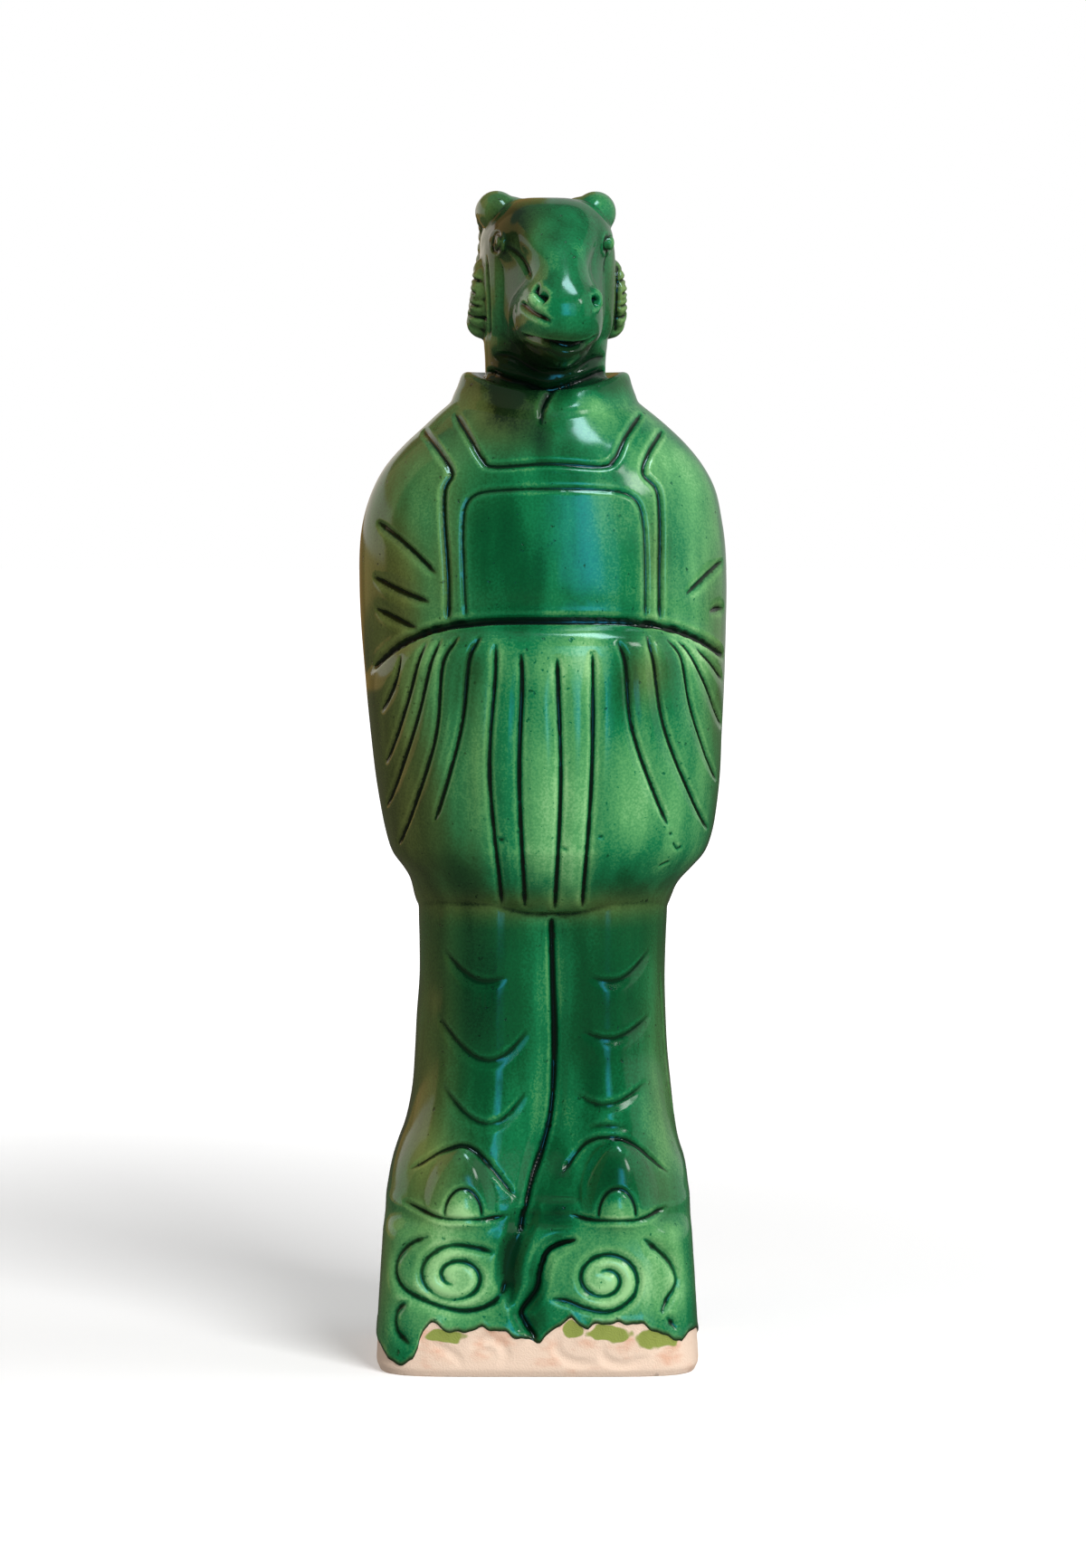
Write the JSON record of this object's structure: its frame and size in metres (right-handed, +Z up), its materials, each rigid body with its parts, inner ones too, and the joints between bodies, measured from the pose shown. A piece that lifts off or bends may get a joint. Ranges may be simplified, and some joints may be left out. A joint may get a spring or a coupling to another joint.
{
  "type": "zodiac goat figurine",
  "caption": "Standing robed figurine with a ram-horned goat head, hands clasped under a pleated drape, on a square cloud-scroll base.",
  "frame": {"origin": "on the flat underside, under the middle of the bounding box", "axes": "+Z up, the face and chest look along -Y, +X is on the right as seen from the front"},
  "size_m": [0.0786, 0.0614, 0.2497],
  "materials": {
    "green_glaze": "gloss"
  },
  "bodies": {
    "root": {"goat_figure": "green_glaze"}
  },
  "joints": []
}
